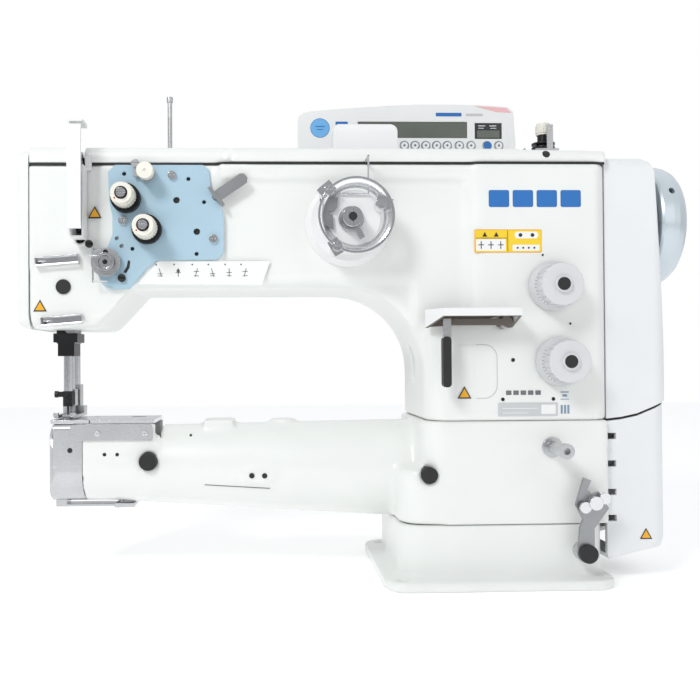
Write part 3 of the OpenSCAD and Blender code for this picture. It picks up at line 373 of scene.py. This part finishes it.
def arm_weight(kind, x, y, z):
    if kind == "fine":
        return 0.6
    # broad blends between the arm, the top band and the column on both faces
    step = near(x, -44, -18, 10) * near(z, 262, 366, 6)
    band = near(x, -262, -20, 12) * near(z, 354, 367, 5)
    corner = near(x, -70, -20, 10) * near(z, 232, 252, 10)
    w = max(step, band, corner) * near(abs(y), 56, 76, 4)
    fillet = near(x, -150, -62, 12) * near(z, 185, 285, 12) * (1.0 if abs(y) > 40 else 0.0)
    under = near(z, 226, 280, 4) * near(x, -430, -140, 6) * 0.8
    return max(w, fillet * 0.7, under * 0.5)


def bed_weight(kind, x, y, z):
    if math.hypot(y, z - 103) < 30.5 and x < -100:
        return 0.0
    if kind == "fine":
        return 0.5 if x > -372 else 0.0
    base = near(x, -118, -58, 10) * near(z, 20, 134, 8)
    boss = near(x, -272, -186, 6) * 0.6
    return max(base, boss) if z < 143.5 else 0.0


def cover_weight(kind, x, y, z):
    if kind == "fine":
        return 0.5 if z > 379 else 0.15
    return near(x, -252, -228, 12) * near(abs(y), 58, 72, 3) * (1.0 if z > 378.5 else 0.4)


def base_weight(kind, x, y, z):
    if kind == "fine":
        return 0.5
    return near(z, 9, 14, 3) * 1.0


cast_copy("arm_casting", 2.2, [(0.5, 4, "fine"), (0.5, 34, "broad")], arm_weight)
cast_copy("bed_casting", 2.0, [(0.5, 3, "fine"), (0.5, 40, "broad")], bed_weight)
cast_copy("base_pedestal", 2.0, [(0.5, 3, "fine"), (0.5, 10, "broad")], base_weight)
cast_copy("top_cover", 1.8, [(0.5, 3, "fine"), (0.5, 30, "broad")], cover_weight)


# ---------------------------------------------------------------- marks that follow a surface
def skin_of(names):
    """One search tree over the finished castings and covers."""
    verts, faces = [], []
    for name in names:
        ob = bpy.data.objects.get(name + "_cast") or nodes[name]
        k = len(verts)
        verts += [v.co.copy() for v in ob.data.vertices]
        faces += [[k + i for i in p.vertices] for p in ob.data.polygons]
    return BVHTree.FromPolygons(verts, faces)


SKIN = skin_of(["arm_casting", "bed_casting", "base_pedestal", "top_cover", "bed_end_cover"])


def front_y(x, z, default=-62.0, skin=None):
    """Where a straight look along +Y meets the machine at x, z (mm)."""
    hit = (skin or SKIN).ray_cast(to_m((x, -300, z)), Vector((0, 1, 0)))
    return hit[0].y / MM if hit[0] else default


def seam(name, path, h, mat, proud=0.15, sink=0.9):
    """A thin strip laid along a joint line on the operator's side."""
    bm = bmesh.new()
    rows = []
    for x, z in path:
        y = min(front_y(x, z + h / 2 + 0.5), front_y(x, z - h / 2 - 0.5))
        ring = ((x, y - proud, z - h / 2), (x, y - proud, z + h / 2),
                (x, y + sink, z + h / 2), (x, y + sink, z - h / 2))
        rows.append([bm.verts.new(to_m(p)) for p in ring])
    bridge(bm, rows)
    bm.faces.new(rows[0])
    bm.faces.new(list(reversed(rows[-1])))
    bmesh.ops.recalc_face_normals(bm, faces=bm.faces)
    return add_piece(name, bm, mat)


def spots(name, places, mat, proud=0.12, skin=None, fallback=-62.0):
    """Small round marks that follow the surface: (x, z, radius) each."""
    def at(x, z):
        return front_y(x, z, fallback, skin)

    bm = bmesh.new()
    for cx, cz, r in places:
        outline = disc(cx, cz, r, 24)
        front = [bm.verts.new(to_m((x, at(x, z) - proud, z))) for x, z in outline]
        back = [bm.verts.new(to_m((x, at(x, z) + 0.5, z))) for x, z in outline]
        mid = bm.verts.new(to_m((cx, at(cx, cz) - proud, cz)))
        end = bm.verts.new(to_m((cx, at(cx, cz) + 0.5, cz)))
        n = len(outline)
        for i in range(n):
            j = (i + 1) % n
            bm.faces.new((front[i], front[j], mid))
            bm.faces.new((back[j], back[i], end))
            bm.faces.new((front[i], back[i], back[j], front[j]))
    bmesh.ops.recalc_face_normals(bm, faces=bm.faces)
    return add_piece(name, bm, mat)


def steps_between(a, b, step):
    n = max(2, int(abs(b - a) / step))
    return [a + (b - a) * i / n for i in range(n + 1)]


# the black joint under the top cover, broken by the take-up guard
COVER_LINE_Z, COVER_LINE_H = 376.5, 1.9
seam("cover_line_left", [(x, COVER_LINE_Z) for x in steps_between(-417.5, -380.2, 3)],
     COVER_LINE_H, RUBBER)
seam("cover_line_right", [(x, COVER_LINE_Z) for x in steps_between(-365.5, 96.5, 4)],
     COVER_LINE_H, RUBBER)
seam("bed_cover_line", [(x, 86.6 - (x + 266) * 0.062) for x in steps_between(-266, -206, 4)],
     0.7, MID_INK, 0.1)
spots("bed_holes", [(-389.4, 119.1, 2.4), (-357.9, 115.1, 1.7), (-346.3, 115.0, 1.7),
                    (-279.6, 131.4, 1.2)], RUBBER)
spots("cover_plug", [(43.9, 385.0, 3.4)], RUBBER, 0.3)
GUIDE_SKIN, SPRING_SKIN = skin_of(["thread_guides"]), skin_of(["check_spring_unit"])
spots("guide_screws", [(-408.4, 288.6, 1.5), (-403.6, 234.6, 1.5)], RUBBER, 0.1, GUIDE_SKIN, -72.0)
spots("spring_screws", [(-349.1, 296.6, 2.3), (-349.1, 287.7, 2.2)], BLACK, 0.15,
      SPRING_SKIN, -74.0)


# ---------------------------------------------------------------- labels and marks
COL = -72.0  # front face of the column
FACE = COL - 0.22  # front of the first layer of ink on it
HEAD_Y = -62.3  # front of a mark on the head and the side covers
PAD_Y = -64.4  # front of a mark on the raised pad of the arm
PLATE_Y = -64.18  # back of the tension plate, seen through its holes
LAYER = 0.12  # thickness of each further layer of ink

# four plain blue bars on the upper part of the column
BAR_X, BAR_W = (-9.6, 12.0, 33.6, 55.2), 18.4
decal("column_blue_bars", [rounded(x0, 336.4, x0 + BAR_W, 351.6, 1.6) for x0 in BAR_X],
      FACE, BLUE_INK, t=0.2)

# plain yellow label with white fields and small generic marks
decal("column_label_edge", [rounded(-22.8, 295.6, 37.8, 316.4, 1.4)], FACE, AMBER, t=0.2)
decal("column_label_yellow", [rounded(-22.1, 296.3, 37.1, 315.7, 1.0)], FACE - LAYER, YELLOW, t=LAYER)
decal("column_label_fields", [rounded(-21.2, 297.2, 5.2, 307.6, 0.6),
                              rounded(11.4, 297.2, 35.8, 302.6, 0.6),
                              rounded(13.4, 308.2, 34.6, 314.4, 2.8)], FACE - 2 * LAYER, LABEL, t=LAYER)
marks = [rounded(6.9, 296.6, 7.3, 315.4, 0.15), rounded(-21.6, 308.4, 6.6, 308.8, 0.15)]
for cx in (-16.8, -8.0, 0.8):
    marks += [rounded(cx - 2.6, 302.2, cx + 2.6, 302.9, 0.3),
              rounded(cx - 0.4, 299.0, cx + 0.4, 305.8, 0.3)]
for cx in (16.0, 21.0, 26.0, 31.0):
    marks += [disc(cx, 299.9, 0.9, 16)]
for cx in (18.6, 29.4):
    marks += [disc(cx, 311.3, 1.7, 20)]
for cx in (-13.5, -3.2):
    marks += [[(cx - 2.2, 309.9), (cx + 2.2, 309.9), (cx, 314.0)]]
decal("column_label_marks", marks, FACE - 3 * LAYER, INK, t=LAYER)


def triangle(name, cx, cz, w, y, t=0.2):
    """Plain orange triangle with a dark edge, w wide, centred on cx, cz."""
    h = w * 0.88

    def corners(s, drop):
        low = cz - h * s / 2 - drop
        return [(cx - w * s / 2, low), (cx + w * s / 2, low), (cx, cz + h * s / 2 - drop)]

    decal(name + "_edge", [corners(1, 0)], y, INK, t=t)
    decal(name + "_face", [corners(0.72, 0.4)], y - LAYER, AMBER, t=LAYER)


triangle("mark_head_low", -409.0, 250.6, 12.0, HEAD_Y)
triangle("mark_head_side", -360.2, 333.2, 12.0, PAD_Y, t=2.6)
triangle("mark_column", -33.0, 171.2, 12.4, FACE - 0.55)
triangle("mark_side_cover", 134.0, 42.0, 11.4, HEAD_Y)

# blank data plate with its rivets
decal("data_plate_field", [rounded(-2.9, 149.6, 51.0, 161.8, 1.0)], FACE - 0.1, PALE_GREY, t=0.3)
decal("data_plate_lines", [rounded(1.2, 152.4, 24.0, 152.9, 0.2),
                           rounded(1.2, 156.4, 33.0, 156.9, 0.2),
                           rounded(36.0, 151.6, 49.0, 159.8, 0.6)], FACE - 0.2, LABEL, t=0.1)
bm = bmesh.new()
for cx, cz in ((1.6, 164.8), (47.1, 164.8)):
    m = Matrix.Translation(to_m((cx, COL, cz))) @ Matrix.Rotation(math.radians(90), 4, "X")
    bmesh.ops.create_cone(bm, cap_ends=True, segments=24, radius1=2.0 * MM, radius2=1.4 * MM,
                          depth=1.2 * MM, matrix=m)
add_piece("data_plate_rivets", bm, BLACK)

# five plain grey bars above the plate, and small marks beside it
SMALL_BAR_X, SMALL_BAR_W = (4.4, 11.0, 17.6, 24.2, 30.8), 4.9
decal("column_grey_bars", [rounded(x0, 168.6, x0 + SMALL_BAR_W, 172.6, 0.5) for x0 in SMALL_BAR_X],
      FACE, MID_INK, t=0.2)
decal("column_small_marks", [rounded(53.6, 170.4, 61.0, 171.4, 0.3),
                             rounded(55.2, 166.8, 59.4, 168.8, 0.3),
                             rounded(53.4, 164.2, 61.2, 164.8, 0.2)]
      + [rounded(x0, 151.6, x1, 159.4, 0.3) for x0, x1 in ((53.6, 55.4), (56.6, 58.4), (59.6, 61.4))],
      FACE, BLUE_GREY, t=0.2)


# raised pad beside the reverse lever, rising from the face on its left
def half_pad(x0, z0, x1, z1, r, n=10):
    """Outline with square left corners and round right ones."""
    pts = [(x0, z1), (x0, z0)]
    for cz, a0 in ((z0 + r, -90), (z1 - r, 0)):
        for i in range(n + 1):
            a = math.radians(a0 + 90 * i / n)
            pts.append((x1 - r + r * math.cos(a), cz + r * math.sin(a)))
    return pts


# painted shade: a pale grey strip standing out along the pad's right and rounded edges stands in for the
# shade of its relief
decal("column_pad_edge", [half_pad(-22, 165.4, -2.9, 214.1, 12.0)], COL - 0.15, PALE_GREY, t=0.6)
bm = bmesh.new()
fill(bm, half_pad(-24, 166.2, -3.7, 213.3, 11.4), COL - 0.35, 0.8)
wedge = [(-24, -0.35), (-24, 0.45), (-42, 0.45), (-42, 0.02)]
low = [bm.verts.new(to_m((x, COL + y, 166.2))) for x, y in wedge]
top = [bm.verts.new(to_m((x, COL + y, 213.3))) for x, y in wedge]
bm.faces.new(low)
bm.faces.new(list(reversed(top)))
for i in range(4):
    bm.faces.new((low[i], top[i], top[(i + 1) % 4], low[(i + 1) % 4]))
bmesh.ops.recalc_face_normals(bm, faces=bm.faces)
add_piece("column_pad", bm, PAINT)

# painted shade: a dark brown sheet on the column face under the lever hood
decal("hood_lining", [[(-66, 229.4), (-32, 231.6), (8, 241.2), (8, 244.6), (-66, 244.6)]],
      COL - 0.2, SHADE, t=0.5)

# white strip with the threading steps
STRIP_Y = -64.9
STEP_X, STEP_Z = (-302.5, -286.6, -270.5, -256.2, -241.4, -227.2), 279.2
decal("chart_strip", [[(-304.3, 289.3), (-205.0, 289.3), (-212.3, 268.0), (-322.9, 269.1)]],
      STRIP_Y, LABEL, t=0.85)
icons = []
for i, cx in enumerate(STEP_X):
    cz = STEP_Z
    k = (i % 3) - 1
    icons += [rounded(cx - 2.4, cz - 0.3 + k, cx + 2.4, cz + 0.3 + k, 0.2)]
    icons += [[(cx - 0.3 - k, cz - 3.6), (cx + 0.4 - k, cz - 3.6),
               (cx + 0.4 + k, cz + 3.8), (cx - 0.3 + k, cz + 3.8)]]
    if i == 1:
        icons += [disc(cx + 1.8 * k, cz + 1.6, 1.5, 20)]
    else:
        icons += [[(cx - 2.2, cz - 3.2), (cx + 2.2, cz - 3.2), (cx + 2.2, cz - 2.6), (cx - 2.2, cz - 2.6)]]
icons += [disc(cx - 3.6, 286.4, 0.8, 12) for cx in STEP_X]
decal("chart_icons", icons, STRIP_Y - LAYER, MID_INK, t=LAYER)

# dark holes of the tension plate, seen against the pad behind it
SMALL_HOLE, BIG_HOLE = 1.9, 3.0
holes = [disc(x, z, SMALL_HOLE, 24) for x, z in ((-333.8, 366.9), (-277.1, 362.4), (-263.3, 341.8),
                                                 (-270.1, 295.7), (-326.7, 300.3))]
holes += [disc(x, z, BIG_HOLE, 24) for x, z in ((-287.7, 343.5), (-269.8, 315.5))]
decal("plate_holes", holes, PLATE_Y, RUBBER, t=LAYER)
decal("plate_dimples", [disc(x, z, SMALL_HOLE, 24) for x, z in ((-340.4, 309.7), (-336.3, 302.8))],
      PLATE_Y, GREY, t=LAYER)
arc = [(-330.6, 290.4), (-328.6, 289.2), (-329.4, 283.4), (-332.4, 278.6), (-334.6, 279.6), (-331.9, 284.4)]
decal("plate_arc_slot", [arc], -66.5, RUBBER, t=0.1)


# ---------------------------------------------------------------- knobs, dials and winder
def turned(name, cx, cz, section, mat, body, n):
    """Ring about an axis along Y through cx, cz, from a section of four (radius, y) points."""
    bm = bmesh.new()
    rows = []
    for i in range(n):
        c, d = math.cos(2 * math.pi * i / n), math.sin(2 * math.pi * i / n)
        rows.append([bm.verts.new(to_m((cx + r * c, y, cz + r * d))) for r, y in section])
    bridge(bm, rows, closed=True)
    bmesh.ops.recalc_face_normals(bm, faces=bm.faces)
    return add_piece(name, bm, mat, body)


def washer(name, cx, cz, r0, r1, y, mat, body=ROOT, t=0.15):
    """Flat ring facing the operator."""
    return turned(name, cx, cz, ((r0, y), (r1, y), (r1, y + t), (r0, y + t)), mat, body, 48)


def cup(name, cx, cz, r0, y0, r1, y1, t, mat):
    """Open cone between two circles that face the operator."""
    section = ((r0, y0), (r1, y1), (r1 + t, y1 + t), (r0 + t, y0 + 0.2))
    ob = turned(name, cx, cz, section, mat, ROOT, 72)
    for p in ob.data.polygons:
        p.use_smooth = True
    return ob


for label, (cx, cz, front) in (("upper", STUD_UP), ("lower", STUD_LOW)):
    body = "tension_knob_" + label + "_body"
    washer("knob_recess_" + label, cx, cz, 4.15, 5.6, front - 0.05, BLACK, body)
    decal("knob_dot_" + label, [disc(cx - 5.4, cz - 4.6, 0.8, 16)], front - 0.08, RED_DOT, body, LAYER)

TICK_IN, TICK_OUT, TICK_HALF, TICK_Y = 18.9, 20.4, 0.2, -87.12
for dial, (cx, cz, front) in DIALS.items():
    ticks = []
    for i in range(11):
        a = math.radians(150 + 9 * i)
        c, d = math.cos(a), math.sin(a)
        ticks.append([(cx + r * c - side * d, cz + r * d + side * c)
                      for r, side in ((TICK_IN, TICK_HALF), (TICK_IN, -TICK_HALF),
                                      (TICK_OUT, -TICK_HALF), (TICK_OUT, TICK_HALF))])
    decal(dial + "_ticks", ticks, TICK_Y, MID_INK, dial + "_body", 0.1)

decal("winder_core", [disc(SPINDLE[0], SPINDLE[1], 3.7, 32)], SPINDLE[2] - 0.1, RUBBER,
      "winder_spindle_body", LAYER)
cup("winder_dish", -130.8, 325.1, 31.6, -96.9, 24.8, -90.3, 0.5, DISH)

# operation panel: round mark, short bars, window marks, lit keys, pink corner
PANEL_Y = 75.75  # front of ink on the panel's face
MARK_X, MARK_Z = -150.5, 446.5
decal("panel_round_mark", [disc(MARK_X, MARK_Z, 9.8)], PANEL_Y, SKY_INK, t=0.2)
decal("panel_round_lines", [rounded(-155.5, 447.6, -145.5, 448.6, 0.4),
                            rounded(-154.0, 444.4, -147.0, 445.2, 0.4)],
      PANEL_Y - LAYER, BLUE_INK, t=LAYER)
decal("panel_bars", [rounded(-27.0, 459.4, 0.6, 463.2, 0.8), rounded(-134.0, 449.6, -121.0, 453.4, 0.8)],
      PANEL_Y, BLUE_INK, t=0.2)
decal("panel_small_bar", [rounded(5.4, 459.8, 23.4, 462.4, 0.6)], PANEL_Y, PALE_GREY, t=0.2)
decal("panel_window_marks", [rounded(18.5, 449.0, 26.0, 449.8, 0.3),
                             rounded(30.5, 449.0, 38.0, 449.8, 0.3),
                             rounded(18.5, 446.6, 24.5, 447.2, 0.3),
                             rounded(31.5, 446.6, 38.0, 447.2, 0.3)], 76.0, LABEL, t=0.15)
decal("panel_window_glow", [rounded(17.2, 436.6, 41.4, 444.6, 0.8)], 76.05, LCD, t=0.1)
decal("panel_pink_corner", [[(14.0, 470.6), (48.6, 468.6), (54.2, 463.6), (38.0, 464.2)]],
      PANEL_Y, PINK, t=0.2)
KEY_Z, KEY_BLUE = 428.2, 27.9
KEY_X = (-60.8, -49.4, -37.9, -26.3, -15.0, -2.0, 10.6, 40.4)
decal("panel_key_icons", [disc(x, KEY_Z, 1.2, 16) for x in KEY_X], 74.85, MID_INK, t=LAYER)
decal("panel_key_blue", [disc(KEY_BLUE, KEY_Z, 4.0)], 74.8, BLUE_INK, t=0.15)
for i, x in enumerate(KEY_X + (KEY_BLUE,)):
    washer("panel_key_ring_%d" % i, x, KEY_Z, 3.7, 4.2, 74.86, BLUE_GREY, t=0.1)
    washer("panel_key_rim_%d" % i, x, KEY_Z, 4.6, 5.0, 75.9, MID_INK, t=0.08)
washer("panel_round_rim", MARK_X, MARK_Z, 9.6, 10.3, PANEL_Y + 0.05, BLUE_INK, t=LAYER)


# ---------------------------------------------------------------- camera, floor, lights
scene = bpy.context.scene
cam_data = bpy.data.cameras.new("camera")
cam = bpy.data.objects.new("camera", cam_data)
scene.collection.objects.link(cam)
scene.camera = cam
cam_data.sensor_width = 36.0
cam_data.lens = 44.43
cam_data.shift_x = 0.0769
CAMERA_AT = (-209.0, -835.0, 201.0)
yaw, pitch, roll = math.radians(2.0), math.radians(0.66), math.radians(0.35)
fwd = Vector((math.sin(yaw), math.cos(yaw), 0.0))
right = Vector((math.cos(yaw), -math.sin(yaw), 0.0))
up = Vector((0.0, 0.0, 1.0))
fwd, up = (fwd * math.cos(pitch) + up * math.sin(pitch),
           up * math.cos(pitch) - fwd * math.sin(pitch))
right, up = (right * math.cos(roll) - up * math.sin(roll),
             up * math.cos(roll) + right * math.sin(roll))
m = Matrix((right, up, -fwd)).transposed().to_4x4()
m.translation = to_m(CAMERA_AT)
cam.matrix_world = m
cam_data.clip_start = 0.05

bm = bmesh.new()
bmesh.ops.create_grid(bm, x_segments=8, y_segments=8, size=3.0)
floor_me = bpy.data.meshes.new("floor")
bm.to_mesh(floor_me)
bm.free()
floor = bpy.data.objects.new("floor", floor_me)
pale = surface("floor_pale", (0.93, 0.93, 0.93), 0.6, vary=0.004, bump=0.0, edge=0.0)
pale_shader = pale.node_tree.nodes["Principled BSDF"]
pale_shader.inputs["Emission Color"].default_value = (1, 1, 1, 1)
pale_shader.inputs["Emission Strength"].default_value = 0.24
floor_me.materials.append(pale)
scene.collection.objects.link(floor)
floor.location = (0, 0, -0.0005)

scene.view_settings.view_transform = "Standard"
world = bpy.data.worlds.new("world")
scene.world = world
world.use_nodes = True
wt = world.node_tree
studio = wt.nodes["Background"]
where = wt.nodes.new("ShaderNodeTexCoord")
split = wt.nodes.new("ShaderNodeSeparateXYZ")
wt.links.new(where.outputs["Generated"], split.inputs["Vector"])
# the room is brightest overhead and behind the machine, and dimmer on the operator's side
height = map_of(wt, split.outputs["Z"], (-0.2, 0.8), (0.0, 0.42))
depth = map_of(wt, split.outputs["Y"], (-0.7, 0.5), (0.24, 0.56))
total = wt.nodes.new("ShaderNodeMath")
total.operation = "ADD"
wt.links.new(height.outputs["Result"], total.inputs[0])
wt.links.new(depth.outputs["Result"], total.inputs[1])
wt.links.new(total.outputs["Value"], studio.inputs["Strength"])
studio.inputs["Color"].default_value = (0.97, 0.985, 1.0, 1)
plain = wt.nodes.new("ShaderNodeBackground")
plain.inputs["Color"].default_value = (1.0, 1.0, 1.0, 1)
plain.inputs["Strength"].default_value = 1.0
seen = wt.nodes.new("ShaderNodeLightPath")
both = wt.nodes.new("ShaderNodeMixShader")
wt.links.new(seen.outputs["Is Camera Ray"], both.inputs["Fac"])
wt.links.new(studio.outputs["Background"], both.inputs[1])
wt.links.new(plain.outputs["Background"], both.inputs[2])
wt.links.new(both.outputs["Shader"], wt.nodes["World Output"].inputs["Surface"])


def area_light(name, at, aim, size, power, color=(1, 1, 1)):
    ld = bpy.data.lights.new(name, "AREA")
    ld.shape = "RECTANGLE"
    ld.size, ld.size_y = size
    ld.energy = power
    ld.color = color
    ob = bpy.data.objects.new(name, ld)
    scene.collection.objects.link(ob)
    ob.location = Vector(at)
    ob.rotation_euler = (Vector(aim) - Vector(at)).to_track_quat("-Z", "Y").to_euler()
    return ob


area_light("key_left", (-0.95, -1.25, 1.25), (-0.15, 0, 0.25), (0.42, 0.42), 12.5)
area_light("fill_right", (0.95, -1.35, 0.75), (-0.05, 0, 0.22), (0.9, 0.9), 2.5)
